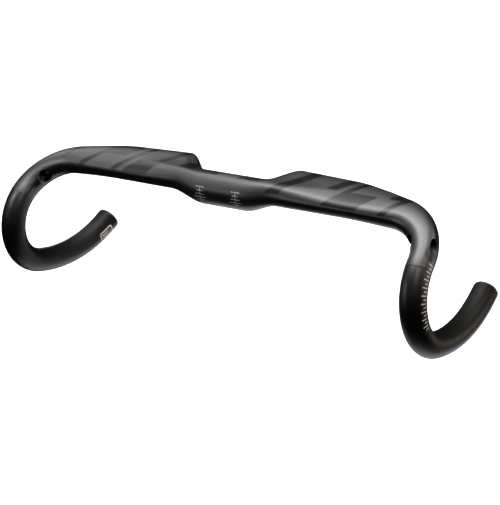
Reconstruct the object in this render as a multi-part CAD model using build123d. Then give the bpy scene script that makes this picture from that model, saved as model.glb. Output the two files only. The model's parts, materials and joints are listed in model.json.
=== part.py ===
"""Carbon aero drop handlebar for a road bicycle, as separate pieces.

Row frame, millimetres: the origin is the centre of the stem clamp, on the bar's axis.
+X runs along the bar, to the right as seen from the front of the bicycle, and the right_
pieces are on that side.
+Y points back to the rider, -Y points forwards, +Z is up.
Every side piece is modelled once on the +X side and mirrored to the -X side.
"""
from build123d import *
import math
import os

# ---- driving dimensions -------------------------------------------------------------------
CLAMP_R = 15.9            # 31.8 mm stem clamp
CLAMP_HALF = 22.0         # half length of the true cylinder at the clamp
TUBE_R = 11.9             # 23.8 mm round tube of the bends and drops
TUBE_WALL = 1.9
CLAMP_WALL = 2.8

# Wing: the flattened top, given by its four edges and where each one starts and ends its blend.
WING_REAR = 37.2
WING_FRONT = -9.8
WING_TOP = 11.6
WING_BOTTOM = -5.0
WING_CREST = Vector(0.0, 3.0, 2.75)   # the thickest place of the wing, and the height of its edges
REAR_BLEND = (31.0, 64.0)
FRONT_BLEND = (22.5, 60.0)
CREST_BLEND = (30.0, 135.0)           # slow, so that the crest runs nearly straight from wing to wing
SCOOP_BLEND = (40.0, 65.0)            # later than the rear edge, which leaves a scoop beside the clamp
# Cosines between which a section point starts to follow the rear edge, below and on top, or the scoop.
UNDER_REAR_SHARE = (0.6, 0.95)
TOP_REAR_SHARE = (0.7, 0.95)
SCOOP_SHARE = (0.15, 0.55)
WING_TAPER = 4.6          # how much the rear edge draws in by the taper's end
TAPER_END = 150.0
WING_TILT = math.radians(-4.2)
WING_FULLNESS = 2.3       # superellipse exponent of the wing's section; 2 is an ellipse
RIDGE_FULLNESS = 3.0      # the same for the upper front quarter, which has a tighter ridge

# Bend, from the tops into the ramp.
CORNER = Vector(219.9, 0.0, 0.5)   # where the axis of the tops meets the axis of the ramp
AXIS_START = Vector(70.0, 0.0, 0.0)
BEND_R = 42.9
ROUNDING_RUN = 56.0       # length before the bend over which the wing starts to turn round

# Drop: two arcs and a straight end in one plane, which leans out a little.
RAMP_ANGLE = math.radians(8.25)     # ramp below the horizontal
TOE_OUT = math.radians(4.05)
FLARE = math.radians(1.6)
HOOK_R = 43.7
HOOK_ANGLE = math.radians(130.2)
LOWER_R = 134.0
LOWER_ANGLE = math.radians(42.5)
END_STRAIGHT = 5.6

# Bonded joint between the top moulding and each drop.
SEAM_ANGLE = math.radians(18.0)    # direction of the axis at the seam, below the horizontal
SLEEVE_SPAN = (math.radians(8.6), math.radians(38.0))
SLEEVE_WALL = 1.4
BOND_GAP = 0.1
SEAM_CHAMFER = 0.25
PAST_END = 0.02           # radians by which a bore is cut past the ends of its tube

# Cable routing.
INNER_PORT_POS = Vector(205.2, -23.2, 1.6)
INNER_PORT_DIR = Vector(-0.60, -0.70, 0.38)
INNER_PORT_R = 6.4
PORT_INSIDE = 4.5         # how far the cut for the port reaches in and out of the skin
PORT_OUTSIDE = 8.0
OUTER_PORT_POS = Vector(232.0, -27.5, 2.4)
OUTER_PORT_OUT = Vector(0.87, 0.20, 0.43)
OUTER_PORT_R = 4.0
OUTER_PORT_SLOPE = math.radians(27.0)
TROUGH_R = 8.0            # shallow groove that leads forward from the outer port
TROUGH_DEPTH = 0.8
TROUGH_LENGTH = 9.0
TROUGH_SLOPE = math.radians(6.0)
DUCT_WALL = 1.5
DUCT_OUTSIDE = 22.0       # length of the duct's axis before and after it meets the skin
DUCT_INSIDE = 10.0
BORE_INSIDE = 18.0        # the duct's bore runs on into the cavity
EXIT_X = 60.0
EXIT_Y = 12.0
EXIT_LENGTH = 17.0
EXIT_WIDTH = 9.0
EXIT_CUT_LOW = -14.0
GROMMET_WALL = 1.2
GROMMET_LOW = -7.5
GROMMET_HIGH = -3.4
LINER_WALL = 0.6
BRAKE_LINER_R = 3.1
SHIFT_LINER_R = 2.7
BRAKE_ROUTE = [
    Vector(208.0, -18.5, 2.0),
    Vector(203.5, -8.5, 2.4),
    Vector(190.0, 0.0, 3.0),
    Vector(150.0, 6.0, 4.0),
    Vector(100.0, 8.0, 3.6),
    Vector(76.0, 9.0, 3.2),
    Vector(66.5, 9.4, 0.6),
]
SHIFT_ROUTE = [
    Vector(219.5, -14.5, 0.6),
    Vector(211.0, -5.0, -0.3),
    Vector(190.0, 5.5, -1.0),
    Vector(150.0, 15.0, 2.0),
    Vector(100.0, 17.0, 2.8),
    Vector(72.0, 16.8, 2.4),
    Vector(58.0, 14.5, 0.4),
]

# Expanding end plug. Depths are measured from the end of the tube, inwards.
BORE_R = 10.2
BORE_DEPTH = 19.0
CAP_FLANGE_R = 11.7
CAP_FLANGE = 1.6
CAP_ROUNDING = 0.7
CAP_BOSS_R = 10.12
CAP_BOSS = 5.0
HEAD_SEAT_R = 4.5
HEAD_SEAT_DEPTH = 2.6
SCREW_R = 2.5
SCREW_CLEARANCE = 0.08
HEAD_R = 4.3
HEAD_HEIGHT = 3.9
HEX_FLATS = 4.0
HEX_DEPTH = 2.4
SCREW_TIP = 21.0
EXPANDER_R = 10.1
EXPANDER_BORE_R = 7.0
EXPANDER_END = 15.0
SLIT_WIDTH = 2.2
SLIT_START = 7.0
NUT_START = 11.5
NUT_END = 17.0
NUT_SMALL_R = 6.6
NUT_LARGE_R = 9.0
NUT_LUG_WIDTH = 1.7
NUT_LUG_R = 9.4
NUT_CONE_GAP = 0.15       # between the nut's cone and the expander's
NUT_LUG_SHORT = 0.5       # how far the lugs end short of the expander's end

# Inspection label, on the inner flank of the left drop near its end.
LABEL_START = 8.3         # from the end of the tube
LABEL_LENGTH = 18.6
LABEL_HEIGHT = 9.2
LABEL_CORNER = 2.4
LABEL_TURN = math.radians(-6.0)   # the label's middle lies this far below the flank's
LABEL_THICK = 0.12

# Sections of the wing. One set of knots for all of them keeps the lofted surface light.
SECTION_POINTS = 32
SECTION_KNOTS = [i / SECTION_POINTS for i in range(SECTION_POINTS + 1)]
TRANSITION_STEP = 4.0     # between sections beside the clamp
STRAIGHT_SECTIONS = 10
BEND_SECTIONS = 9

# ---- directions and centre line of one drop ------------------------------------------------
FORWARD = Vector(math.sin(TOE_OUT), -math.cos(TOE_OUT), 0)
DOWN = Vector(math.sin(FLARE) * math.cos(TOE_OUT), math.sin(FLARE) * math.sin(TOE_OUT), -math.cos(FLARE))
OUTBOARD = FORWARD.cross(DOWN)


def heading(angle):
    """Direction of the drop's axis when it points this far below the horizontal."""
    return FORWARD * math.cos(angle) + DOWN * math.sin(angle)


def inward(angle):
    """Direction from the drop's axis to the centre of its arc."""
    return DOWN * math.cos(angle) - FORWARD * math.sin(angle)


RAMP = heading(RAMP_ANGLE)
TOPS = (CORNER - AXIS_START).normalized()
BEND_ANGLE = math.radians(TOPS.get_angle(RAMP))
BEND_START = CORNER - TOPS * (BEND_R * math.tan(BEND_ANGLE / 2))
BEND_IN = (RAMP - TOPS * TOPS.dot(RAMP)).normalized()
BEND_CENTRE = BEND_START + BEND_IN * BEND_R
HOOK_START = BEND_CENTRE + BEND_R * (TOPS * math.sin(BEND_ANGLE) - BEND_IN * math.cos(BEND_ANGLE))
HOOK_CENTRE = HOOK_START + inward(RAMP_ANGLE) * HOOK_R
LOWER_START_ANGLE = RAMP_ANGLE + HOOK_ANGLE
LOWER_CENTRE = HOOK_CENTRE + inward(LOWER_START_ANGLE) * (LOWER_R - HOOK_R)
END_ANGLE = LOWER_START_ANGLE + LOWER_ANGLE
END_DIR = heading(END_ANGLE)
ARC_END = LOWER_CENTRE - inward(END_ANGLE) * LOWER_R
TUBE_END = ARC_END + END_DIR * END_STRAIGHT


# ---- helpers ---------------------------------------------------------------------------------
def smooth(t):
    t = min(max(t, 0.0), 1.0)
    return t * t * (3 - 2 * t)


def blend(span, x):
    return smooth((x - span[0]) / (span[1] - span[0]))


def mix(a, b, k):
    return a + (b - a) * k


def drop_plane(centre, angle):
    """Plane across the drop's axis; its x points to the arc's centre, its z along the axis."""
    return Plane(origin=centre, x_dir=inward(angle), z_dir=heading(angle))


def arc_tube(centre, arc_r, start, end, tube_r):
    """Solid round rod of radius tube_r along an arc of the drop, between two axis directions."""
    section = Face(Wire([Edge.make_circle(tube_r, drop_plane(centre - inward(start) * arc_r, start))]))
    axis = Axis(origin=centre, direction=OUTBOARD)
    return Solid.revolve(section, math.degrees(end - start), axis)


def seam_chamfered(tube):
    """The tube with its edge at the seam broken, which leaves a fine groove round the joint."""
    seam_centre = HOOK_CENTRE - inward(SEAM_ANGLE) * HOOK_R
    circles = [e for e in tube.edges() if e.geom_type == GeomType.CIRCLE and abs(e.radius - TUBE_R) < 0.01]
    edge = min(circles, key=lambda e: (e.arc_center - seam_centre).length)
    return tube.chamfer(SEAM_CHAMFER, None, [edge])


def rod(radius, start, direction, length):
    return Solid.make_cylinder(radius, length, Plane(origin=start, z_dir=direction))


def fused(first, *others):
    result = first.fuse(*others)
    return result.solids()[0] if len(result.solids()) == 1 else result


def sides(name, solid):
    """The piece on the +X side and its mirror image on the -X side."""
    return {"right_" + name: solid, "left_" + name: solid.mirror(Plane.YZ)}


# ---- top moulding ------------------------------------------------------------------------------
def rounded(value, fullness):
    """Cosine or sine, flattened to the power that makes a superellipse."""
    return math.copysign(abs(value) ** (2 / fullness), value)


def wing_point(cosine, sine, x, wall):
    """A point of the full wing's section, as its chord and thickness coordinates."""
    taper = min(max((x - REAR_BLEND[1]) / (TAPER_END - REAR_BLEND[1]), 0.0), 1.0)
    rear = WING_REAR - WING_TAPER * taper
    half_width = (rear - WING_CREST.Y if cosine > 0 else WING_CREST.Y - WING_FRONT) - wall
    half_height = (WING_TOP - WING_CREST.Z if sine > 0 else WING_CREST.Z - WING_BOTTOM) - wall
    fullness = RIDGE_FULLNESS if cosine < 0 < sine else WING_FULLNESS
    y = WING_CREST.Y + half_width * rounded(cosine, fullness)
    z = WING_CREST.Z + half_height * rounded(sine, fullness)
    return y, z


def wing_share(cosine, sine, x):
    """How far a section point has gone from the clamp's circle, 0, to the full wing, 1."""
    front_weight = smooth(-cosine)
    if sine > 0:
        rear_weight = blend(TOP_REAR_SHARE, cosine)
        scoop_weight = blend(SCOOP_SHARE, cosine) - rear_weight
        rest = blend(CREST_BLEND, x)
    else:
        rear_weight = blend(UNDER_REAR_SHARE, cosine)
        scoop_weight = 0.0
        rest = blend(FRONT_BLEND, x)
    share = rear_weight * blend(REAR_BLEND, x) + scoop_weight * blend(SCOOP_BLEND, x)
    share += front_weight * blend(FRONT_BLEND, x)
    return share + (1 - rear_weight - scoop_weight - front_weight) * rest


def circle_wire(radius, centre, across, along):
    return Wire([Edge.make_circle(radius, Plane(origin=centre, x_dir=across, z_dir=along))])


def tilted(across, up):
    """The wing's chord and thickness directions, tilted nose up."""
    chord = across * math.cos(WING_TILT) + up * math.sin(WING_TILT)
    thickness = up * math.cos(WING_TILT) - across * math.sin(WING_TILT)
    return chord, thickness


def wing_section(centre, along, x, keep, wall):
    """One section of the wing; keep is 1 for the full wing and 0 for the round tube."""
    across = Vector(0, 0, 1).cross(along).normalized()
    chord, thickness = tilted(across, along.cross(across))
    points = []
    for i in range(SECTION_POINTS):
        turn = 2 * math.pi * i / SECTION_POINTS
        c = math.cos(turn)
        s = math.sin(turn)
        share = wing_share(c, s, x)
        y, z = wing_point(c, s, x, wall)
        y = mix((TUBE_R - wall) * c, mix((CLAMP_R - wall) * c, y, share), keep)
        z = mix((TUBE_R - wall) * s, mix((CLAMP_R - wall) * s, z, share), keep)
        points.append(centre + chord * y + thickness * z)
    return Wire([Edge.make_spline(points, periodic=True, parameters=SECTION_KNOTS)])


def wing_loft(inner):
    """The wing and bend from the clamp to the start of the hook; inner gives the cavity."""
    x_dir = Vector(1, 0, 0)
    clamp_wall = CLAMP_WALL if inner else 0.0
    tube_wall = TUBE_WALL if inner else 0.0
    wires = [circle_wire(CLAMP_R - clamp_wall, Vector(CLAMP_HALF, 0, 0), Vector(0, 1, 0), x_dir)]
    x = CLAMP_HALF + TRANSITION_STEP
    while x < AXIS_START.X - TRANSITION_STEP / 2:
        wall = mix(clamp_wall, tube_wall, blend(REAR_BLEND, x))
        wires.append(wing_section(Vector(x, 0, 0), x_dir, x, 1.0, wall))
        x += TRANSITION_STEP
    straight = (BEND_START - AXIS_START).length
    rounding = (straight - ROUNDING_RUN, straight + BEND_R * BEND_ANGLE)
    for i in range(STRAIGHT_SECTIONS):
        run = straight * i / STRAIGHT_SECTIONS
        centre = AXIS_START + TOPS * run
        keep = 1 - blend(rounding, run)
        wires.append(wing_section(centre, TOPS, AXIS_START.X + run, keep, tube_wall))
    for i in range(BEND_SECTIONS):
        turn = BEND_ANGLE * i / BEND_SECTIONS
        centre = BEND_CENTRE + BEND_R * (TOPS * math.sin(turn) - BEND_IN * math.cos(turn))
        along = TOPS * math.cos(turn) + BEND_IN * math.sin(turn)
        keep = 1 - blend(rounding, straight + BEND_R * turn)
        wires.append(wing_section(centre, along, TAPER_END, keep, tube_wall))
    across = Vector(0, 0, 1).cross(RAMP).normalized()
    chord, _ = tilted(across, RAMP.cross(across))
    wires.append(circle_wire(TUBE_R - tube_wall, HOOK_START, chord, RAMP))
    return Solid.make_loft(wires)


def outer_port_axis():
    """A point on the outer port's duct, and its direction into the bar."""
    out = OUTER_PORT_OUT.normalized()
    radial = (OUTER_PORT_POS - BEND_CENTRE).normalized()
    turn = math.acos(min(1.0, -radial.dot(BEND_IN)))
    back = (TOPS * math.cos(turn) + BEND_IN * math.sin(turn)) * -1
    along_skin = (back - out * back.dot(out)).normalized()
    direction = along_skin * math.cos(OUTER_PORT_SLOPE) - out * math.sin(OUTER_PORT_SLOPE)
    return OUTER_PORT_POS, direction


def port_trough():
    """Cutter for the groove in front of the outer port, round at its front end."""
    out = OUTER_PORT_OUT.normalized()
    forward = (RAMP - out * RAMP.dot(out)).normalized()
    forward = forward * math.cos(TROUGH_SLOPE) - out * math.sin(TROUGH_SLOPE)
    start = OUTER_PORT_POS + out * (TROUGH_R - TROUGH_DEPTH)
    front = Pos(*(start + forward * TROUGH_LENGTH)) * Sphere(TROUGH_R)
    return fused(rod(TROUGH_R, start, forward, TROUGH_LENGTH), front.solid())


def exit_slot(grow, z_low, z_high):
    """Round-ended slot through the underside of the wing."""
    outline = SlotOverall(EXIT_LENGTH + 2 * grow, EXIT_WIDTH + 2 * grow).face()
    profile = Plane(origin=(EXIT_X, EXIT_Y, z_low)) * outline
    return extrude(profile, amount=z_high - z_low, dir=(0, 0, 1)).solid()


def half_shell():
    """One wing and bend from the clamp's end to the seam, hollow, with its ports."""
    outside = wing_loft(False)
    hook_stub = seam_chamfered(arc_tube(HOOK_CENTRE, HOOK_R, RAMP_ANGLE, SEAM_ANGLE, TUBE_R))
    stub_bore = arc_tube(HOOK_CENTRE, HOOK_R, RAMP_ANGLE - PAST_END, SEAM_ANGLE + PAST_END, TUBE_R - TUBE_WALL)
    point, direction = outer_port_axis()
    duct_start = point - direction * DUCT_OUTSIDE
    duct = rod(OUTER_PORT_R + DUCT_WALL, duct_start, direction, DUCT_OUTSIDE + DUCT_INSIDE)
    duct = outside.intersect(duct)[0]
    shell = fused(outside.cut(wing_loft(True)), duct, hook_stub.cut(stub_bore))
    port_out = INNER_PORT_DIR.normalized()
    port_start = INNER_PORT_POS - port_out * PORT_INSIDE
    inner_port = rod(INNER_PORT_R, port_start, port_out, PORT_INSIDE + PORT_OUTSIDE)
    duct_bore = rod(OUTER_PORT_R, duct_start, direction, DUCT_OUTSIDE + BORE_INSIDE)
    return shell.cut(inner_port, duct_bore, port_trough(), exit_slot(0, EXIT_CUT_LOW, 0))


def top_moulding():
    half = half_shell()
    along = Vector(1, 0, 0)
    clamp = rod(CLAMP_R, along * -CLAMP_HALF, along, 2 * CLAMP_HALF)
    clamp = clamp.cut(rod(CLAMP_R - CLAMP_WALL, along * (-CLAMP_HALF - 1), along, 2 * CLAMP_HALF + 2))
    return fused(clamp, half, half.mirror(Plane.YZ))


# ---- drops and their bonded sleeves --------------------------------------------------------------
def drop():
    outer = fused(
        seam_chamfered(arc_tube(HOOK_CENTRE, HOOK_R, SEAM_ANGLE, LOWER_START_ANGLE, TUBE_R)),
        arc_tube(LOWER_CENTRE, LOWER_R, LOWER_START_ANGLE, END_ANGLE, TUBE_R),
        rod(TUBE_R, ARC_END, END_DIR, END_STRAIGHT),
    )
    inner_r = TUBE_R - TUBE_WALL
    inner = fused(
        arc_tube(HOOK_CENTRE, HOOK_R, SEAM_ANGLE - PAST_END, LOWER_START_ANGLE, inner_r),
        arc_tube(LOWER_CENTRE, LOWER_R, LOWER_START_ANGLE, END_ANGLE, inner_r),
        rod(inner_r, ARC_END, END_DIR, END_STRAIGHT + 1),
    )
    plug_bore = rod(BORE_R, TUBE_END - END_DIR * BORE_DEPTH, END_DIR, BORE_DEPTH + 1)
    return outer.cut(inner).cut(plug_bore)


def bond_sleeve():
    outer_r = TUBE_R - TUBE_WALL - BOND_GAP
    start, end = SLEEVE_SPAN
    outer = arc_tube(HOOK_CENTRE, HOOK_R, start, end, outer_r)
    return outer.cut(arc_tube(HOOK_CENTRE, HOOK_R, start - PAST_END, end + PAST_END, outer_r - SLEEVE_WALL))


def inspection_label():
    """Thin blank label that follows the inner flank of the drop."""
    outer_r = TUBE_R + LABEL_THICK
    middle = END_ANGLE - (LABEL_START + LABEL_LENGTH / 2 - END_STRAIGHT) / LOWER_R
    first = middle - LABEL_LENGTH / LOWER_R
    last = middle + LABEL_LENGTH / LOWER_R
    ring = arc_tube(LOWER_CENTRE, LOWER_R, first, last, outer_r)
    ring = ring.cut(arc_tube(LOWER_CENTRE, LOWER_R, first - PAST_END, last + PAST_END, TUBE_R))
    facing = inward(middle) * math.sin(LABEL_TURN) - OUTBOARD * math.cos(LABEL_TURN)
    centre = LOWER_CENTRE - inward(middle) * LOWER_R
    window_plane = Plane(origin=centre, x_dir=heading(middle), z_dir=facing)
    window = extrude(window_plane * RectangleRounded(LABEL_LENGTH, LABEL_HEIGHT, LABEL_CORNER), TUBE_R * 2)
    return ring.intersect(window.solid())[0]


# ---- routing pieces --------------------------------------------------------------------------------
def liner(points, radius):
    """Thin tube along straight runs joined by tangent arcs."""
    radii = []
    for before, corner, after in zip(points, points[1:], points[2:]):
        run_in = corner - before
        run_out = after - corner
        half_turn = math.radians(run_in.get_angle(run_out)) / 2
        radii.append(0.45 * min(run_in.length, run_out.length) / math.tan(half_turn))
    path = FilletPolyline(*points, radius=radii)
    print("liner arc radii", [round(r, 1) for r in radii], "length", round(path.length, 1))
    start = Plane(origin=points[0], z_dir=points[1] - points[0])
    outer = sweep(start * Circle(radius), path=path)
    inner = sweep(start * Circle(radius - LINER_WALL), path=path)
    return outer.solid().cut(inner.solid())


def exit_grommet():
    ring = exit_slot(0, GROMMET_LOW, GROMMET_HIGH)
    return ring.cut(exit_slot(-GROMMET_WALL, GROMMET_LOW - 1, GROMMET_HIGH + 1))


# ---- expanding end plug ------------------------------------------------------------------------------
def at_depth(depth):
    return TUBE_END - END_DIR * depth


def plug_rod(radius, shallow, deep):
    return rod(radius, at_depth(shallow), END_DIR * -1, deep - shallow)


def plug_cap():
    flange = plug_rod(CAP_FLANGE_R, -CAP_FLANGE, 0)
    rim = [e for e in flange.edges() if e.geom_type == GeomType.CIRCLE]
    rim.sort(key=lambda e: (e.center() - TUBE_END).dot(END_DIR))
    flange = flange.fillet(CAP_ROUNDING, [rim[-1]])
    body = fused(flange, plug_rod(CAP_BOSS_R, 0, CAP_BOSS))
    body = body.cut(plug_rod(HEAD_SEAT_R, -CAP_FLANGE - 1, HEAD_SEAT_DEPTH))
    return body.cut(plug_rod(SCREW_R + SCREW_CLEARANCE, 0, CAP_BOSS + 1))


def cross_blade(width, outer_r, shallow, deep):
    """Four radial blades about the plug's axis, as two crossed bars."""
    plane = Plane(origin=at_depth(deep), x_dir=OUTBOARD, z_dir=END_DIR)
    bars = []
    for turn in (0, 90):
        bar = extrude(plane * Rot(0, 0, turn) * Rectangle(2 * outer_r, width), amount=deep - shallow, dir=END_DIR)
        bars.append(bar.solid())
    return fused(bars[0], bars[1])


def cone(r_shallow, r_deep, shallow, deep):
    plane = Plane(origin=at_depth(shallow), z_dir=END_DIR * -1)
    return Solid.make_cone(r_shallow, r_deep, deep - shallow, plane)


def plug_expander():
    body = plug_rod(EXPANDER_R, CAP_BOSS, EXPANDER_END)
    body = body.cut(plug_rod(EXPANDER_BORE_R, CAP_BOSS - 1, EXPANDER_END + 1))
    gap = NUT_CONE_GAP
    slope = (NUT_LARGE_R - NUT_SMALL_R) / (NUT_END - NUT_START)
    flare_end = NUT_END + 1
    flare_r = NUT_LARGE_R + slope * (flare_end - NUT_END) + gap
    body = body.cut(cone(NUT_SMALL_R + gap, flare_r, NUT_START, flare_end))
    return body.cut(cross_blade(SLIT_WIDTH, EXPANDER_R + 1, SLIT_START, EXPANDER_END + 1))


def plug_nut():
    body = cone(NUT_SMALL_R, NUT_LARGE_R, NUT_START, NUT_END)
    lugs = cross_blade(NUT_LUG_WIDTH, NUT_LUG_R, NUT_START, EXPANDER_END - NUT_LUG_SHORT)
    body = fused(body, lugs)
    return body.cut(plug_rod(SCREW_R + SCREW_CLEARANCE, NUT_START - 1, NUT_END + 1))


def plug_screw():
    head = plug_rod(HEAD_R, HEAD_SEAT_DEPTH - HEAD_HEIGHT, HEAD_SEAT_DEPTH)
    body = fused(head, plug_rod(SCREW_R, HEAD_SEAT_DEPTH, SCREW_TIP))
    plane = Plane(origin=at_depth(HEAD_SEAT_DEPTH - HEAD_HEIGHT + HEX_DEPTH), z_dir=END_DIR)
    socket = extrude(plane * RegularPolygon(HEX_FLATS / 2, 6, major_radius=False), amount=HEX_DEPTH + 1, dir=END_DIR)
    return body.cut(socket.solid())


# ---- assembly -----------------------------------------------------------------------------------------
def nodes():
    made = {"top_moulding": top_moulding()}
    made.update(sides("drop", drop()))
    made.update(sides("bond_sleeve", bond_sleeve()))
    made.update(sides("brake_hose_liner", liner(BRAKE_ROUTE, BRAKE_LINER_R)))
    made.update(sides("shift_cable_liner", liner(SHIFT_ROUTE, SHIFT_LINER_R)))
    made.update(sides("exit_grommet", exit_grommet()))
    made.update(sides("plug_cap", plug_cap()))
    made.update(sides("plug_expander", plug_expander()))
    made.update(sides("plug_nut", plug_nut()))
    made.update(sides("plug_screw", plug_screw()))
    made["inspection_label"] = inspection_label().mirror(Plane.YZ)
    return made


if __name__ == "__main__":
    os.makedirs("parts", exist_ok=True)
    for name, shape in nodes().items():
        export_step(shape, "parts/" + name + ".step")
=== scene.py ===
"""Looks of a carbon aero drop handlebar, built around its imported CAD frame. Metres, +Z up."""
import bpy
import bmesh
import json
import math
from mathutils import Matrix, Vector
from mathutils.bvhtree import BVHTree


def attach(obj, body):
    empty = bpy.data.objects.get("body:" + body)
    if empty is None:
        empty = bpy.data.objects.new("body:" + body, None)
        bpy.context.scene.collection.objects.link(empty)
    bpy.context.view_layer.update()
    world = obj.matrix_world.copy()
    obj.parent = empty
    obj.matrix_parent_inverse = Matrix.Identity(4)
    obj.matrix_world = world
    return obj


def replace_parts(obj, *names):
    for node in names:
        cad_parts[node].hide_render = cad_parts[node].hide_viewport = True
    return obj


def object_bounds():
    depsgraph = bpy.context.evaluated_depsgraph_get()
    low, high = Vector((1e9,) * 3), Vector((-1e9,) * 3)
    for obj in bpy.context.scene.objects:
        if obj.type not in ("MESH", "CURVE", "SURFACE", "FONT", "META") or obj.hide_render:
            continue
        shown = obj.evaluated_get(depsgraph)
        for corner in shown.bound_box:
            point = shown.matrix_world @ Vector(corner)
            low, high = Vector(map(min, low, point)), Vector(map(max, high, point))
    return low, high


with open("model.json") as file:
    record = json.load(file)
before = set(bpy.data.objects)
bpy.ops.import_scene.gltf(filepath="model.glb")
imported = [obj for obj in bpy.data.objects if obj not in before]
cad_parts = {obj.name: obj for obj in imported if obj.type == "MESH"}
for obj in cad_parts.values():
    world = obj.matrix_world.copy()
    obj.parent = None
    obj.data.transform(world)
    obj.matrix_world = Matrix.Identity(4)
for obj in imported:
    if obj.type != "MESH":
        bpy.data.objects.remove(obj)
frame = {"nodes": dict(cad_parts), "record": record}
CAD_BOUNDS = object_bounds()

MM = 0.001
BAR = "bar"
BOTH_SIDES = (("right", 1), ("left", -1))

# ---- shape of the bar, as in the CAD part, in millimetres --------------------------------------
CLAMP_R = 15.9
CLAMP_HALF = 22.0
CLAMP_WALL = 2.8
TUBE_R = 11.9
TUBE_WALL = 1.9
WING_REAR = 37.2
WING_FRONT = -9.8
WING_TOP = 11.6
WING_BOTTOM = -5.0
CREST_Y = 3.0
CREST_Z = 2.75
REAR_BLEND = (31.0, 64.0)
FRONT_BLEND = (22.5, 60.0)
CREST_BLEND = (30.0, 135.0)
SCOOP_BLEND = (40.0, 65.0)
UNDER_REAR_SHARE = (0.6, 0.95)
TOP_REAR_SHARE = (0.7, 0.95)
SCOOP_SHARE = (0.15, 0.55)
WING_TAPER = 4.6
TAPER_END = 150.0
WING_TILT = math.radians(-4.2)
WING_FULLNESS = 2.3
RIDGE_FULLNESS = 3.0
CORNER = Vector((219.9, 0.0, 0.5))
AXIS_START = Vector((70.0, 0.0, 0.0))
BEND_R = 42.9
ROUNDING_RUN = 56.0
RAMP_ANGLE = math.radians(8.25)
TOE_OUT = math.radians(4.05)
FLARE = math.radians(1.6)
HOOK_R = 43.7
HOOK_ANGLE = math.radians(130.2)
LOWER_R = 134.0
LOWER_ANGLE = math.radians(42.5)
END_STRAIGHT = 5.6
SEAM_ANGLE = math.radians(18.0)
INNER_PORT_POS = Vector((205.2, -23.2, 1.6))
INNER_PORT_DIR = Vector((-0.60, -0.70, 0.38)).normalized()
INNER_PORT_R = 6.4
OUTER_PORT_POS = Vector((232.0, -27.5, 2.4))
OUTER_PORT_OUT = Vector((0.87, 0.20, 0.43)).normalized()
OUTER_PORT_R = 4.0
OUTER_PORT_SLOPE = math.radians(27.0)
TROUGH_R = 8.0
TROUGH_DEPTH = 0.8
TROUGH_LENGTH = 9.0
TROUGH_SLOPE = math.radians(6.0)
DUCT_WALL = 1.5
DUCT_OUTSIDE = 22.0
DUCT_INSIDE = 10.0
EXIT_X = 60.0
EXIT_Y = 12.0
EXIT_LENGTH = 17.0
EXIT_WIDTH = 9.0
BORE_R = 10.2
BORE_DEPTH = 19.0
END_EDGE = 0.35

# ---- printed marks on the bar ------------------------------------------------------------------
INK_LIFT = 0.06
INK_SINK = 0.05
INK_STEP = 1.0
CLAMP_SCALE_X = 20.0
CLAMP_SPINE = (-8.0, 46.0)
CLAMP_SPINE_WIDTH = 0.75
CLAMP_TICKS = ((46.0, 9.6), (33.5, 6.6), (21.5, 9.6), (10.0, 12.4), (0.0, 8.0))
CLAMP_TICK_WIDTH = 0.8
LEVER_SCALE = (11.0, 82.0)
LEVER_TICKS = 18
LEVER_TICK_SPAN = (-2.0, 15.0)
LEVER_TICK_WIDTH = 0.6
LEVER_LONG_EVERY = 2
LEVER_LONG_SPAN = (-2.0, 27.0)
LABEL_MIDDLE = (175.8, -6.0)
LABEL_LENGTH = 18.6
LABEL_WIDTH = 9.4
LABEL_CORNER = 2.4
LABEL_STROKE = 1.1
LABEL_THICK = 0.12
LABEL_MARK = (8.5, 1.0, 0.3)
LABEL_MARK_AT = -2.0
LABEL_MARK_ROWS = (-1.7, 1.3)
LABEL_MARK_HOLLOW = (0.8, 0.1)
CORNER_POINTS = 7

# ---- tone-on-tone graphic on the tops ----------------------------------------------------------
# Start and end along the bar in millimetres, and the part of the chord covered.
GRAPHIC_BARS = (
    (-240, -198, "full"), (-190, -166, "full"), (-158, -134, "front"), (-134, -126, "full"),
    (-119, -112, "full"), (-112, -92, "rear"), (-84, -62, "full"), (-62, -10, "front"),
    (-10, 12, "full"), (12, 34, "front"), (34, 53, "full"), (67, 94, "full"), (94, 106, "front"),
    (106, 114, "full"), (121, 150, "rear"), (150, 158, "full"), (158, 172, "front"), (180, 240, "full"),
)
GRAPHIC_SLANT = -0.75
GRAPHIC_SPLIT = (2.0, 12.0)
GRAPHIC_SPLIT_SPAN = (35.0, 70.0)
GRAPHIC_RANGE = 240.0
GRAPHIC_ENDS = (190.0, 193.0)
GRAPHIC_FACING = (0.66, 0.8)

# ---- zones of the carbon finishes and of painted shade and highlight, in millimetres -----------
GRIT_ZONE = (34.0, 50.0)
# Painted shade: the hollow beside the clamp, between these distances out from the middle and behind the front
# line, gets a lower specular level.
SCOOP_SHADE_INNER = (30.0, 37.0)
SCOOP_SHADE_OUTER = (45.0, 56.0)
SCOOP_SHADE_FRONT = (6.0, 14.0)
TROUGH_FADE = (5.5, 8.0)
# Painted highlight on the drop: a higher specular level up high and towards the seam.
DROP_PAINTED_SHEEN_HEIGHT = (-24.0, -4.0)
DROP_PAINTED_SHEEN_ALONG = (-5.0, 30.0)
DROP_ROUGH_HEIGHT = (-10.0, 4.0)

# ---- mesh resolution and edge breaks -----------------------------------------------------------
AROUND = 96
STATION_STEP = 2.0
SEAM_BREAK = 0.3
PORT_BREAK = 0.25
TROUGH_STEPS = 12

# ---- camera and studio -------------------------------------------------------------------------
CAMERA_AZIMUTH = math.radians(47.17)
CAMERA_ELEVATION = math.radians(39.98)
CAMERA_ROLL = math.radians(-23.67)
CAMERA_DISTANCE = 1.6007
CAMERA_SHIFT = (0.02069, -0.05687)
CAMERA_SENSOR = 36.0
CAMERA_LENS = 1749.5 / 505 * CAMERA_SENSOR
CAMERA_CLIP = (0.05, 50.0)
WORLD_STRENGTH = 0.015
FLOOR_HALF = 6.0
FLOOR_DROP = 0.35
FLOOR_GLOW = 0.75
LIGHT_TARGET = (-0.02, -0.03)

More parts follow.
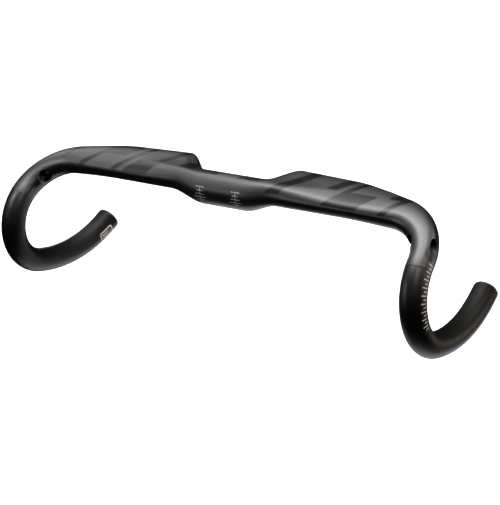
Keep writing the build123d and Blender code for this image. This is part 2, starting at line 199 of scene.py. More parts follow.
Z_UP = Vector((0, 0, 1))
FORWARD = Vector((math.sin(TOE_OUT), -math.cos(TOE_OUT), 0))
DOWN = Vector((
    math.sin(FLARE) * math.cos(TOE_OUT), math.sin(FLARE) * math.sin(TOE_OUT), -math.cos(FLARE)))
OUTBOARD = FORWARD.cross(DOWN)


def heading(angle):
    return FORWARD * math.cos(angle) + DOWN * math.sin(angle)


def inward(angle):
    return DOWN * math.cos(angle) - FORWARD * math.sin(angle)


RAMP = heading(RAMP_ANGLE)
TOPS = (CORNER - AXIS_START).normalized()
BEND_ANGLE = TOPS.angle(RAMP)
BEND_START = CORNER - TOPS * (BEND_R * math.tan(BEND_ANGLE / 2))
BEND_IN = (RAMP - TOPS * TOPS.dot(RAMP)).normalized()
BEND_CENTRE = BEND_START + BEND_IN * BEND_R
HOOK_START = BEND_CENTRE + (TOPS * math.sin(BEND_ANGLE) - BEND_IN * math.cos(BEND_ANGLE)) * BEND_R
HOOK_CENTRE = HOOK_START + inward(RAMP_ANGLE) * HOOK_R
LOWER_START_ANGLE = RAMP_ANGLE + HOOK_ANGLE
LOWER_CENTRE = HOOK_CENTRE + inward(LOWER_START_ANGLE) * (LOWER_R - HOOK_R)
END_ANGLE = LOWER_START_ANGLE + LOWER_ANGLE
END_DIR = heading(END_ANGLE)
TUBE_END = LOWER_CENTRE - inward(END_ANGLE) * LOWER_R + END_DIR * END_STRAIGHT


def mix(a, b, k):
    return a + (b - a) * k


def blend(span, x):
    t = min(max((x - span[0]) / (span[1] - span[0]), 0.0), 1.0)
    return t * t * (3 - 2 * t)


def frange(start, end, step):
    """Evenly spaced values from start to end, both included, at most step apart."""
    count = max(1, math.ceil((end - start) / step))
    return [start + (end - start) * i / count for i in range(count + 1)]


# ---- cross-sections along the bar --------------------------------------------------------------
def rounded(value, fullness):
    """A cosine or sine turned into a superellipse coordinate; fullness 2 leaves it as it is."""
    return math.copysign(abs(value) ** (2 / fullness), value)


def oval(middle, chord, thickness, half_width, half_height, fullness):
    """AROUND points of a superellipse, starting at the rear edge and turning over the top."""
    points = []
    for i in range(AROUND):
        turn = 2 * math.pi * i / AROUND
        c = math.cos(turn)
        s = math.sin(turn)
        y = half_width * rounded(c, fullness)
        z = half_height * rounded(s, fullness)
        points.append(middle + chord * y + thickness * z)
    return points


def tilted(across, up):
    """The chord and thickness directions of a section, tilted nose down."""
    chord = across * math.cos(WING_TILT) + up * math.sin(WING_TILT)
    thickness = up * math.cos(WING_TILT) - across * math.sin(WING_TILT)
    return chord, thickness


def wing_point(cosine, sine, x, wall):
    """A point of the full wing's section, as its chord and thickness coordinates."""
    taper = min(max((x - REAR_BLEND[1]) / (TAPER_END - REAR_BLEND[1]), 0.0), 1.0)
    rear = WING_REAR - WING_TAPER * taper
    half_width = (rear - CREST_Y if cosine > 0 else CREST_Y - WING_FRONT) - wall
    half_height = (WING_TOP - CREST_Z if sine > 0 else CREST_Z - WING_BOTTOM) - wall
    fullness = RIDGE_FULLNESS if cosine < 0 < sine else WING_FULLNESS
    y = CREST_Y + half_width * rounded(cosine, fullness)
    z = CREST_Z + half_height * rounded(sine, fullness)
    return y, z


def wing_share(cosine, sine, x):
    """How far a section point has gone from the clamp's circle, 0, to the full wing, 1."""
    front_weight = blend((0.0, 1.0), -cosine)
    if sine > 0:
        rear_weight = blend(TOP_REAR_SHARE, cosine)
        scoop_weight = blend(SCOOP_SHARE, cosine) - rear_weight
        rest = blend(CREST_BLEND, x)
    else:
        rear_weight = blend(UNDER_REAR_SHARE, cosine)
        scoop_weight = 0.0
        rest = blend(FRONT_BLEND, x)
    share = rear_weight * blend(REAR_BLEND, x) + scoop_weight * blend(SCOOP_BLEND, x)
    share += front_weight * blend(FRONT_BLEND, x)
    return share + (1 - rear_weight - scoop_weight - front_weight) * rest


def wing_section(centre, along, x, keep, wall):
    """One section of the wing; keep is 1 for the full wing and 0 for the round tube."""
    across = Z_UP.cross(along).normalized()
    chord, thickness = tilted(across, along.cross(across))
    points = []
    for i in range(AROUND):
        turn = 2 * math.pi * i / AROUND
        c = math.cos(turn)
        s = math.sin(turn)
        share = wing_share(c, s, x)
        y, z = wing_point(c, s, x, wall)
        y = mix((TUBE_R - wall) * c, mix((CLAMP_R - wall) * c, y, share), keep)
        z = mix((TUBE_R - wall) * s, mix((CLAMP_R - wall) * s, z, share), keep)
        points.append(centre + chord * y + thickness * z)
    return points


def round_section(centre, angle, radius):
    """Circle across the drop's axis, in step with the wing's sections."""
    chord, thickness = tilted(OUTBOARD, heading(angle).cross(OUTBOARD))
    return oval(centre, chord, thickness, radius, radius, 2.0)


def half_sections(inner):
    """Sections of the top moulding from the middle of the clamp to the right-hand seam."""
    clamp_wall = CLAMP_WALL if inner else 0.0
    wall = TUBE_WALL if inner else 0.0
    x_dir = Vector((1, 0, 0))
    sections = []
    for x in frange(0.0, AXIS_START.x, STATION_STEP):
        thick = mix(clamp_wall, wall, blend(REAR_BLEND, x))
        sections.append(wing_section(Vector((x, 0, 0)), x_dir, x, 1.0, thick))
    straight = (BEND_START - AXIS_START).length
    rounding = (straight - ROUNDING_RUN, straight + BEND_R * BEND_ANGLE)
    for run in frange(0.0, straight, STATION_STEP)[1:]:
        keep = 1 - blend(rounding, run)
        sections.append(wing_section(AXIS_START + TOPS * run, TOPS, AXIS_START.x + run, keep, wall))
    for turn in frange(0.0, BEND_ANGLE, STATION_STEP / BEND_R)[1:]:
        centre = BEND_CENTRE + (TOPS * math.sin(turn) - BEND_IN * math.cos(turn)) * BEND_R
        along = TOPS * math.cos(turn) + BEND_IN * math.sin(turn)
        keep = 1 - blend(rounding, straight + BEND_R * turn)
        sections.append(wing_section(centre, along, TAPER_END, keep, wall))
    stub = frange(RAMP_ANGLE, SEAM_ANGLE, STATION_STEP / HOOK_R)[1:]
    for angle in stub[:-1]:
        sections.append(round_section(HOOK_CENTRE - inward(angle) * HOOK_R, angle, TUBE_R - wall))
    sections += seam_sections(SEAM_ANGLE - SEAM_BREAK / HOOK_R, SEAM_ANGLE, wall, inner)
    return sections


def seam_sections(full, edge, wall, inner):
    """The last two sections at a seam: full size, then drawn in by the edge break."""
    drawn = 0.0 if inner else SEAM_BREAK * 0.8
    order = ((full, 0.0), (edge, drawn))
    return [round_section(HOOK_CENTRE - inward(a) * HOOK_R, a, TUBE_R - wall - d) for a, d in order]


def drop_sections(inner):
    """Sections of the right-hand drop from the seam to its open end."""
    radius = TUBE_R - TUBE_WALL if inner else TUBE_R
    full = SEAM_ANGLE + SEAM_BREAK / HOOK_R
    sections = seam_sections(full, SEAM_ANGLE, TUBE_WALL if inner else 0.0, inner)[::-1]
    for angle in frange(full, LOWER_START_ANGLE, STATION_STEP / HOOK_R)[1:]:
        sections.append(round_section(HOOK_CENTRE - inward(angle) * HOOK_R, angle, radius))
    plug_start = END_ANGLE - (BORE_DEPTH - END_STRAIGHT) / LOWER_R
    for angle in frange(LOWER_START_ANGLE, plug_start if inner else END_ANGLE, STATION_STEP / LOWER_R)[1:]:
        sections.append(round_section(LOWER_CENTRE - inward(angle) * LOWER_R, angle, radius))
    if inner:
        for depth in (BORE_DEPTH, 0.0):
            sections.append(round_section(TUBE_END - END_DIR * depth, END_ANGLE, BORE_R))
    else:
        sections.append(round_section(TUBE_END - END_DIR * END_EDGE, END_ANGLE, radius))
        sections.append(round_section(TUBE_END, END_ANGLE, radius - END_EDGE))
    return sections


# ---- mesh builders -----------------------------------------------------------------------------
def mirrored(sections):
    """The sections on the -X side, in the same turning order."""
    return [[Vector((-p.x, p.y, p.z)) for p in s] for s in sections]


def tube_faces(first, count, flip):
    faces = []
    for j in range(count - 1):
        for i in range(AROUND):
            a = first + j * AROUND + i
            b = first + j * AROUND + (i + 1) % AROUND
            quad = (a, b, b + AROUND, a + AROUND)
            faces.append(quad[::-1] if flip else quad)
    return faces


def new_mesh_object(name, points, faces):
    mesh = bpy.data.meshes.new(name)
    mesh.from_pydata([p * MM for p in points], [], faces)
    mesh.validate()
    tidy = bmesh.new()
    tidy.from_mesh(mesh)
    bmesh.ops.recalc_face_normals(tidy, faces=tidy.faces)
    tidy.to_mesh(mesh)
    tidy.free()
    piece = bpy.data.objects.new(name, mesh)
    bpy.context.scene.collection.objects.link(piece)
    return piece


def shell_mesh(name, outer, inner):
    """Closed mesh of a hollow tube: outer skin, inner skin and the two end rings."""
    points = [p for s in outer + inner for p in s]
    start_in = len(outer) * AROUND
    faces = tube_faces(0, len(outer), False) + tube_faces(start_in, len(inner), True)
    ends = ((0, start_in), ((len(outer) - 1) * AROUND, start_in + (len(inner) - 1) * AROUND))
    for ring_out, ring_in in ends:
        for i in range(AROUND):
            j = (i + 1) % AROUND
            faces.append((ring_out + i, ring_out + j, ring_in + j, ring_in + i))
    return new_mesh_object(name, points, faces)


def solid_mesh(name, sections):
    points = [p for s in sections for p in s]
    last = (len(sections) - 1) * AROUND
    caps = [tuple(range(AROUND)), tuple(range(last, last + AROUND))]
    return new_mesh_object(name, points, tube_faces(0, len(sections), False) + caps)


def lathe_sections(origin, direction, profile, stretch=0.0, stretch_dir=None):
    """Round sections along an axis from (distance, radius) pairs; stretch makes them slots."""
    side = direction.orthogonal().normalized() if stretch_dir is None else stretch_dir
    other = direction.cross(side)
    sections = []
    for distance, radius in profile:
        ring = []
        for i in range(AROUND):
            turn = 2 * math.pi * (i + 0.5) / AROUND
            offset = math.copysign(stretch, math.cos(turn))
            ring.append(origin + direction * distance + side * (radius * math.cos(turn) + offset)
                        + other * radius * math.sin(turn))
        sections.append(ring)
    return sections


def boolean(target, operation, *cutters):
    """Applies an exact boolean with each cutter, and removes the cutters."""
    for cutter in cutters:
        modifier = target.modifiers.new("cut", "BOOLEAN")
        modifier.operation = operation
        modifier.solver = "EXACT"
        modifier.object = cutter
        bpy.context.view_layer.update()
        evaluated = target.evaluated_get(bpy.context.evaluated_depsgraph_get())
        mesh = bpy.data.meshes.new_from_object(evaluated)
        target.modifiers.clear()
        target.data = mesh
        bpy.data.objects.remove(cutter)
    return target


def smooth_shaded(piece, degrees=32):
    """Smooth shading with sharp edges above an angle."""
    mesh = piece.data
    mesh.shade_smooth()
    mesh.set_sharp_from_angle(angle=math.radians(degrees))
    return piece


def outer_port_direction():
    radial = (OUTER_PORT_POS - BEND_CENTRE).normalized()
    turn = math.acos(min(1.0, -radial.dot(BEND_IN)))
    back = -(TOPS * math.cos(turn) + BEND_IN * math.sin(turn))
    along_skin = (back - OUTER_PORT_OUT * back.dot(OUTER_PORT_OUT)).normalized()
    return along_skin * math.cos(OUTER_PORT_SLOPE) - OUTER_PORT_OUT * math.sin(OUTER_PORT_SLOPE)


def trough_sections():
    """The shallow groove that leads forward from the outer port, rounded at its end."""
    forward = (RAMP - OUTER_PORT_OUT * RAMP.dot(OUTER_PORT_OUT)).normalized()
    forward = forward * math.cos(TROUGH_SLOPE) - OUTER_PORT_OUT * math.sin(TROUGH_SLOPE)
    start = OUTER_PORT_POS + OUTER_PORT_OUT * (TROUGH_R - TROUGH_DEPTH)
    profile = [(0.0, TROUGH_R)]
    for step in range(TROUGH_STEPS):
        turn = math.pi / 2 * step / TROUGH_STEPS
        profile.append((TROUGH_LENGTH + TROUGH_R * math.sin(turn), TROUGH_R * math.cos(turn)))
    return lathe_sections(start, forward, profile)


# ---- the carbon pieces -------------------------------------------------------------------------
def top_skin():
    """The top moulding's skin with its ports, guide ducts, grooves and cable exits."""
    right_out = half_sections(False)
    right_in = half_sections(True)
    outer = mirrored(right_out)[:0:-1] + right_out
    inner = mirrored(right_in)[:0:-1] + right_in
    skin = shell_mesh("top_skin", outer, inner)
    direction = outer_port_direction()
    duct_start = OUTER_PORT_POS - direction * DUCT_OUTSIDE
    duct_length = DUCT_OUTSIDE + DUCT_INSIDE
    duct_profile = ((0.0, OUTER_PORT_R + DUCT_WALL), (duct_length, OUTER_PORT_R + DUCT_WALL))
    bore_profile = ((-1.0, OUTER_PORT_R), (duct_length + 4, OUTER_PORT_R))
    port_wide = INNER_PORT_R + PORT_BREAK * 3
    port_profile = (
        (-4.5, INNER_PORT_R), (-PORT_BREAK, INNER_PORT_R), (PORT_BREAK * 2, port_wide), (9.0, port_wide))
    exit_profile = ((-14.0, EXIT_WIDTH / 2), (0.0, EXIT_WIDTH / 2))
    exit_stretch = (EXIT_LENGTH - EXIT_WIDTH) / 2
    exit_middle = Vector((EXIT_X, EXIT_Y, 0))
    exit_sections = lathe_sections(exit_middle, Z_UP, exit_profile, exit_stretch, Vector((1, 0, 0)))
    for side, sign in BOTH_SIDES:
        flip = (lambda s: s) if sign > 0 else mirrored
        duct = solid_mesh("duct", flip(lathe_sections(duct_start, direction, duct_profile)))
        envelope = solid_mesh("envelope", outer)
        boolean(duct, "INTERSECT", envelope)
        boolean(skin, "UNION", duct)
        bore = solid_mesh("bore", flip(lathe_sections(duct_start, direction, bore_profile)))
        port = solid_mesh("port", flip(lathe_sections(INNER_PORT_POS, INNER_PORT_DIR, port_profile)))
        exit_slot = solid_mesh("exit", flip(exit_sections))
        trough = solid_mesh("trough", flip(trough_sections()))
        boolean(skin, "DIFFERENCE", bore, port, exit_slot, trough)
    return smooth_shaded(skin)


def drop_skin(side, sign):
    outer = drop_sections(False)
    inner = drop_sections(True)
    if sign < 0:
        outer = mirrored(outer)
        inner = mirrored(inner)
    return smooth_shaded(shell_mesh(side + "_drop_skin", outer, inner))


# ---- printed marks: thin skins that follow the surface -----------------------------------------
def clamp_surface(x, degrees, lift):
    """A point on the clamp's cylinder; 0 degrees faces forward and 90 faces up."""
    turn = math.radians(degrees)
    radius = CLAMP_R + lift
    return Vector((x, -radius * math.cos(turn), radius * math.sin(turn)))


def hook_surface(degrees, around, lift):
    """A point on the hook; around is 0 outboard and grows towards the outside of the hook."""
    angle = math.radians(degrees)
    turn = math.radians(around)
    out = OUTBOARD * math.cos(turn) - inward(angle) * math.sin(turn)
    return HOOK_CENTRE - inward(angle) * HOOK_R + out * (TUBE_R + lift)


def lower_surface(degrees, around, lift):
    """A point on the lower drop; around is 0 inboard and grows towards the inside of the curve."""
    angle = math.radians(degrees)
    turn = math.radians(around)
    out = inward(angle) * math.sin(turn) - OUTBOARD * math.cos(turn)
    return LOWER_CENTRE - inward(angle) * LOWER_R + out * (TUBE_R + lift)


def add_strip(points, faces, surface, left, right):
    """Adds a thin closed strip between two rows of surface coordinates."""
    first = len(points)
    count = len(left)
    for lift in (INK_LIFT, -INK_SINK):
        for row in (left, right):
            points.extend(surface(u, v, lift) for u, v in row)
    for i in range(count - 1):
        a, b, c, d = (first + k * count + i for k in range(4))
        faces.extend(((a, a + 1, b + 1, b), (c, d, d + 1, c + 1), (a, c, c + 1, a + 1), (b, b + 1, d + 1, d)))
    for i in (0, count - 1):
        a, b, c, d = (first + k * count + i for k in range(4))
        faces.append((a, b, d, c))


def add_block(points, faces, surface, u_span, v_span, count):
    """A strip that runs from one end of v_span to the other, u_span wide."""
    steps = [mix(v_span[0], v_span[1], i / count) for i in range(count + 1)]
    add_strip(points, faces, surface, [(u_span[0], v) for v in steps], [(u_span[1], v) for v in steps])


def clamp_scale(side, sign):
    """Bar-angle scale: a line around the clamp with short ticks across it."""
    points = []
    faces = []
    half = CLAMP_SPINE_WIDTH / 2
    add_block(points, faces, clamp_surface, (CLAMP_SCALE_X - half, CLAMP_SCALE_X + half), CLAMP_SPINE, 24)
    tick = math.degrees(CLAMP_TICK_WIDTH / CLAMP_R)
    for middle, length in CLAMP_TICKS:
        for start, end in ((-length / 2, -half), (half, length / 2)):
            add_block(points, faces, clamp_surface, (CLAMP_SCALE_X + start, CLAMP_SCALE_X + end),
                      (middle - tick / 2, middle + tick / 2), 2)
    return new_mesh_object(side + "_clamp_scale", [Vector((p.x * sign, p.y, p.z)) for p in points], faces)


def lever_scale(side, sign):
    """Lever-position scale: ticks around the outboard side of the hook, every second one longer."""
    points = []
    faces = []
    half = math.degrees(LEVER_TICK_WIDTH / 2 / HOOK_R)
    for i in range(LEVER_TICKS):
        middle = mix(LEVER_SCALE[0], LEVER_SCALE[1], i / (LEVER_TICKS - 1))
        span = LEVER_LONG_SPAN if i % LEVER_LONG_EVERY == 0 else LEVER_TICK_SPAN
        add_block(points, faces, hook_surface, (middle - half, middle + half), span, 8)
    return new_mesh_object(side + "_lever_scale", [Vector((p.x * sign, p.y, p.z)) for p in points], faces)


def rounded_loop(length, width, corner):
    """Points around a rounded rectangle, in mm."""
    loop = []
    for quarter in range(4):
        cx = (length / 2 - corner) * (1 if quarter in (0, 3) else -1)
        cy = (width / 2 - corner) * (1 if quarter in (0, 1) else -1)
        for i in range(CORNER_POINTS):
            turn = math.pi / 2 * (quarter + i / (CORNER_POINTS - 1))
            loop.append((cx + corner * math.cos(turn), cy + corner * math.sin(turn)))
    dense = []
    for (x0, y0), (x1, y1) in zip(loop, loop[1:] + loop[:1]):
        pieces = max(1, round(math.dist((x0, y0), (x1, y1)) / INK_STEP))
        dense.extend((mix(x0, x1, i / pieces), mix(y0, y1, i / pieces)) for i in range(pieces))
    return dense + dense[:1]


def on_label(loop):
    """Label coordinates in mm turned into angles on the lower drop."""
    middle_angle, middle_around = LABEL_MIDDLE
    return [(middle_angle + math.degrees(x / LOWER_R), middle_around + math.degrees(y / TUBE_R))
            for x, y in loop]


def label_surface(degrees, around, lift):
    return lower_surface(degrees, around, lift + LABEL_THICK)


def label_outline():
    """Blank label on the left drop: a light rounded outline with two plain bars in it."""
    points = []
    faces = []
    outer = rounded_loop(LABEL_LENGTH, LABEL_WIDTH, LABEL_CORNER)
    shrink_x = (LABEL_LENGTH - 2 * LABEL_STROKE) / LABEL_LENGTH
    shrink_y = (LABEL_WIDTH - 2 * LABEL_STROKE) / LABEL_WIDTH
    inner = [(x * shrink_x, y * shrink_y) for x, y in outer]
    add_strip(points, faces, label_surface, on_label(outer), on_label(inner))
    mark = rounded_loop(*LABEL_MARK)
    inset = [(x * LABEL_MARK_HOLLOW[0], y * LABEL_MARK_HOLLOW[1]) for x, y in mark]
    for shift in LABEL_MARK_ROWS:
        moved = [[(x + LABEL_MARK_AT, y + shift) for x, y in loop] for loop in (mark, inset)]
        add_strip(points, faces, label_surface, on_label(moved[0]), on_label(moved[1]))
    return new_mesh_object("label_outline", [Vector((-p.x, p.y, p.z)) for p in points], faces)


# ---- camera and studio -------------------------------------------------------------------------
def towards(azimuth, elevation):
    """Unit vector to a place around the bar; azimuth 0 is in front and 90 degrees at the +X end."""
    level = math.cos(elevation)
    return Vector((math.sin(azimuth) * level, -math.cos(azimuth) * level, math.sin(elevation)))


def add_camera():
    """The camera at the photograph's angle."""
    flat_right = Vector((math.cos(CAMERA_AZIMUTH), math.sin(CAMERA_AZIMUTH), 0))
    back = towards(CAMERA_AZIMUTH, CAMERA_ELEVATION)
    flat_up = back.cross(flat_right)
    right = flat_right * math.cos(CAMERA_ROLL) + flat_up * math.sin(CAMERA_ROLL)
    up = flat_up * math.cos(CAMERA_ROLL) - flat_right * math.sin(CAMERA_ROLL)
    data = bpy.data.cameras.new("camera")
    data.sensor_width = CAMERA_SENSOR
    data.lens = CAMERA_LENS
    data.clip_start, data.clip_end = CAMERA_CLIP
    camera = bpy.data.objects.new("camera", data)
    rotation = Matrix((right, up, back)).transposed().to_4x4()
    place = back * CAMERA_DISTANCE + right * CAMERA_SHIFT[0] + up * CAMERA_SHIFT[1]
    camera.matrix_world = Matrix.Translation(place) @ rotation
    bpy.context.scene.collection.objects.link(camera)
    bpy.context.scene.camera = camera


# Name, azimuth and elevation in degrees, distance, aim, width, height, brightness, colour, and for
# two narrow ones the spread in degrees.
STUDIO_BOXES = (
    ("overhead_box", 206, 66, 1.2, 0.31, 1.15, 0.8, 9.4, (1.0, 0.985, 0.98)),
    ("rear_left_box", 243, 50, 1.2, 0.12, 1.0, 0.6, 1.8, (1.0, 0.985, 0.99)),
    ("rear_key_box", 226, 44, 1.2, 0.32, 0.6, 0.5, 5.2, (1.0, 0.985, 0.98)),
    ("rear_box", 222, 22, 1.2, -0.30, 0.5, 0.3, 4.2, (1.0, 0.99, 0.99)),
    ("right_rear_box", 186, 42, 1.1, 0.26, 0.5, 0.45, 3.9, (1.0, 0.98, 0.96)),
    ("right_high_box", 82, 58, 1.2, 0.1, 0.5, 0.4, 4.4, (1.0, 0.95, 0.92)),
    ("right_box", 122, 40, 0.9, 0.28, 0.45, 0.4, 3.4, (1.0, 0.96, 0.93)),
    ("right_side_box", 150, 19, 0.9, 0.28, 0.5, 0.4, 3.8, (1.0, 0.96, 0.92)),
    ("right_level_box", 118, 2, 0.8, 0.25, 0.4, 0.3, 2.2, (1.0, 0.90, 0.82)),
    ("right_low_box", 132, -28, 0.75, 0.30, 0.55, 0.35, 3.2, (1.0, 0.85, 0.72)),
    ("under_box", 0, -89, 0.42, 0.0, 0.7, 0.7, 1.5, (0.95, 0.95, 1.0)),
    ("left_low_box", 238, -20, 1.0, 0.0, 0.35, 0.16, 3.0, (1.0, 0.98, 0.97)),
    ("left_box", 285, 38, 1.15, -0.22, 0.4, 0.35, 0.7, (1.0, 0.985, 0.98)),
    ("left_near_box", 316, 66, 0.5, -0.25, 0.2, 0.2, 1.1, (1.0, 0.98, 0.97), 60),
    ("left_cross_box", 304, 26, 0.8, 0.26, 0.3, 0.2, 0.45, (1.0, 0.99, 0.98), 60),
)


def soft_box(name, azimuth, elevation, distance, aim, width, height, brightness, colour, spread=180):
    """An even rectangle of light aimed at the bar, aim metres towards +X."""
    away = towards(math.radians(azimuth), math.radians(elevation))
    data = bpy.data.lights.new(name, "AREA")
    data.shape = "RECTANGLE"
    data.size = width
    data.size_y = height
    data.energy = brightness * math.pi * width * height
    data.color = colour
    data.spread = math.radians(spread)
    light = bpy.data.objects.new(name, data)
    light.location = Vector((aim, *LIGHT_TARGET)) + away * distance
    light.visible_camera = False
    light.rotation_euler = (-away).to_track_quat("-Z", "Y").to_euler()
    bpy.context.scene.collection.objects.link(light)


def add_studio():
    """Pale floor, dim even surroundings and the soft boxes."""
    scene = bpy.context.scene
    scene.view_settings.view_transform = "Standard"
    world = bpy.data.worlds.new("studio")
    world.use_nodes = True
    background = world.node_tree.nodes["Background"]
    background.inputs["Color"].default_value = (1, 1, 1, 1)
    background.inputs["Strength"].default_value = WORLD_STRENGTH
    scene.world = world
    floor_mesh = bpy.data.meshes.new("floor")
    corners = [(x * FLOOR_HALF, y * FLOOR_HALF, 0) for x, y in ((-1, -1), (1, -1), (1, 1), (-1, 1))]
    floor_mesh.from_pydata(corners, [], [(0, 1, 2, 3)])
    floor = bpy.data.objects.new("floor", floor_mesh)
    floor.location.z = CAD_BOUNDS[0][2] - FLOOR_DROP
    floor.data.materials.append(floor_material())
    floor.visible_glossy = False
    floor.visible_diffuse = False
    scene.collection.objects.link(floor)
    for box in STUDIO_BOXES:
        soft_box(*box)


def floor_material():
    material = bpy.data.materials.new("floor_paper")
    material.use_nodes = True
    shader = material.node_tree.nodes["Principled BSDF"]
    shader.inputs["Base Color"].default_value = (0.9, 0.9, 0.9, 1)
    shader.inputs["Roughness"].default_value = 0.9
    shader.inputs["Emission Color"].default_value = (1, 1, 1, 1)
    shader.inputs["Emission Strength"].default_value = FLOOR_GLOW
    return material


# ---- materials ---------------------------------------------------------------------------------
class Paint:
    """A Principled material with short ways to add nodes."""

    def __init__(self, name, colour, roughness, metallic=0.0):
        self.material = bpy.data.materials.new(name)
        self.material.use_nodes = True
        self.tree = self.material.node_tree
        self.shader = self.tree.nodes["Principled BSDF"]
        self.shader.inputs["Base Color"].default_value = (*colour, 1)
        self.shader.inputs["Roughness"].default_value = roughness
        self.shader.inputs["Metallic"].default_value = metallic
        self.place = self.tree.nodes.new("ShaderNodeTexCoord").outputs["Object"]

    def feed(self, socket, value):
        if isinstance(value, bpy.types.NodeSocket):
            self.tree.links.new(value, socket)
        else:
            socket.default_value = value

    def calc(self, operation, *values):
        node = self.tree.nodes.new("ShaderNodeMath")
        node.operation = operation
        for socket, value in zip(node.inputs, values):
            self.feed(socket, value)
        return node.outputs[0]

    def span(self, value, low, high, to_low, to_high):
        node = self.tree.nodes.new("ShaderNodeMapRange")
        names = ("Value", "From Min", "From Max", "To Min", "To Max")
        for name, given in zip(names, (value, low, high, to_low, to_high)):
            self.feed(node.inputs[name], given)
        return node.outputs[0]

    def zone(self, value, span, to_low, to_high):
        """A ramp over a span of millimetres."""
        return self.span(value, span[0] * MM, span[1] * MM, to_low, to_high)

    def noise(self, scale, detail=3.0, stretch=None):
        node = self.tree.nodes.new("ShaderNodeTexNoise")
        node.inputs["Scale"].default_value = scale
        node.inputs["Detail"].default_value = detail
        place = self.place
        if stretch:
            mapping = self.tree.nodes.new("ShaderNodeMapping")
            mapping.inputs["Scale"].default_value = stretch
            self.feed(mapping.inputs["Vector"], place)
            place = mapping.outputs[0]
        self.feed(node.inputs["Vector"], place)
        return node.outputs["Fac"]

    def colour_mix(self, share, first, second):
        node = self.tree.nodes.new("ShaderNodeMix")
        node.data_type = "RGBA"
        self.feed(node.inputs["Factor"], share)
        self.feed(node.inputs["A"], first)
        self.feed(node.inputs["B"], second)
        return node.outputs["Result"]

    def coordinates(self, source=None):
        node = self.tree.nodes.new("ShaderNodeSeparateXYZ")
        self.feed(node.inputs[0], source or self.place)
        return node.outputs

    def bump(self, height, distance, strength=1.0):
        node = self.tree.nodes.new("ShaderNodeBump")
        node.inputs["Strength"].default_value = strength
        node.inputs["Distance"].default_value = distance
        self.feed(node.inputs["Height"], height)
        self.feed(self.shader.inputs["Normal"], node.outputs[0])


def grainy(name, colour, roughness, scale, depth, metallic=0.0, variation=0.25, rough_variation=0.08,
           stretch=None):
    """A finish with a fine grain: it varies the colour, the roughness and the surface itself."""
    paint = Paint(name, colour, roughness, metallic)
    grain = paint.noise(scale, stretch=stretch)
    shade = paint.span(grain, 0.3, 0.7, 1 - variation, 1 + variation)
    tint = paint.tree.nodes.new("ShaderNodeVectorMath")
    tint.operation = "SCALE"
    tint.inputs[0].default_value = colour
    paint.feed(tint.inputs["Scale"], shade)
    paint.feed(paint.shader.inputs["Base Color"], tint.outputs[0])
    paint.feed(paint.shader.inputs["Roughness"],
               paint.span(grain, 0.3, 0.7, roughness - rough_variation, roughness + rough_variation))
    paint.bump(grain, depth * MM)
    return paint.material


def graphic_mask(paint):
    """Two masks for the upper side of the tops: 1 inside the slanted bars, and 1 in the gaps between them."""
    x, y = paint.coordinates()[:2]
    side = paint.calc("ABSOLUTE", x)
    along = paint.calc("ADD", x, paint.calc("MULTIPLY", y, GRAPHIC_SLANT))
    ramp = paint.tree.nodes.new("ShaderNodeValToRGB")
    ramp.color_ramp.interpolation = "CONSTANT"
    stops = ramp.color_ramp.elements
    limits = [value for bar in GRAPHIC_BARS for value in bar[:2]]
    place = {value: (value + GRAPHIC_RANGE) / (2 * GRAPHIC_RANGE) for value in limits}
    codes = {"full": (1, 0, 0, 1), "front": (0, 1, 0, 1), "rear": (0, 0, 1, 1)}
    stops[0].position = 0.0
    stops[0].color = codes[GRAPHIC_BARS[0][2]]
    stops[1].position = place[GRAPHIC_BARS[0][1]]
    stops[1].color = (0, 0, 0, 1)
    for bar, following in zip(GRAPHIC_BARS[1:], GRAPHIC_BARS[2:] + GRAPHIC_BARS[-1:]):
        stops.new(place[bar[0]]).color = codes[bar[2]]
        if bar is not following and bar[1] != following[0]:
            stops.new(place[bar[1]]).color = (0, 0, 0, 1)
    paint.feed(ramp.inputs[0], paint.zone(along, (-GRAPHIC_RANGE, GRAPHIC_RANGE), 0.0, 1.0))
    split = paint.tree.nodes.new("ShaderNodeSeparateColor")
    paint.feed(split.inputs[0], ramp.outputs[0])
    edge = paint.zone(side, GRAPHIC_SPLIT_SPAN, *(v * MM for v in GRAPHIC_SPLIT))
    rear_part = paint.calc("GREATER_THAN", y, edge)
    front_part = paint.calc("SUBTRACT", 1.0, rear_part)
    covered = paint.calc("ADD", split.outputs[0], paint.calc("MULTIPLY", split.outputs[1], front_part))
    covered = paint.calc("ADD", covered, paint.calc("MULTIPLY", split.outputs[2], rear_part))
    covered = paint.calc("MAXIMUM", covered, paint.zone(side, GRAPHIC_ENDS, 0.0, 1.0))
    normal = paint.tree.nodes.new("ShaderNodeTexCoord").outputs["Normal"]
    facing_up = paint.span(paint.coordinates(normal)[2], *GRAPHIC_FACING, 0.0, 1.0)
    bars = paint.calc("MULTIPLY", covered, facing_up)
    gaps = paint.calc("SUBTRACT", facing_up, bars)
    return bars, gaps


def trough_mask(paint):
    """1 in the bare, rough groove in front of each outer port."""
    middle = OUTER_PORT_POS + RAMP * (TROUGH_LENGTH * 0.6)
    mirrored_place = paint.tree.nodes.new("ShaderNodeCombineXYZ")
    x, y, z = paint.coordinates()
    for socket, value in zip(mirrored_place.inputs, (paint.calc("ABSOLUTE", x), y, z)):
        paint.feed(socket, value)
    distance = paint.tree.nodes.new("ShaderNodeVectorMath")
    distance.operation = "DISTANCE"
    paint.feed(distance.inputs[0], mirrored_place.outputs[0])
    distance.inputs[1].default_value = middle * MM
    return paint.zone(distance.outputs["Value"], TROUGH_FADE, 1.0, 0.0)


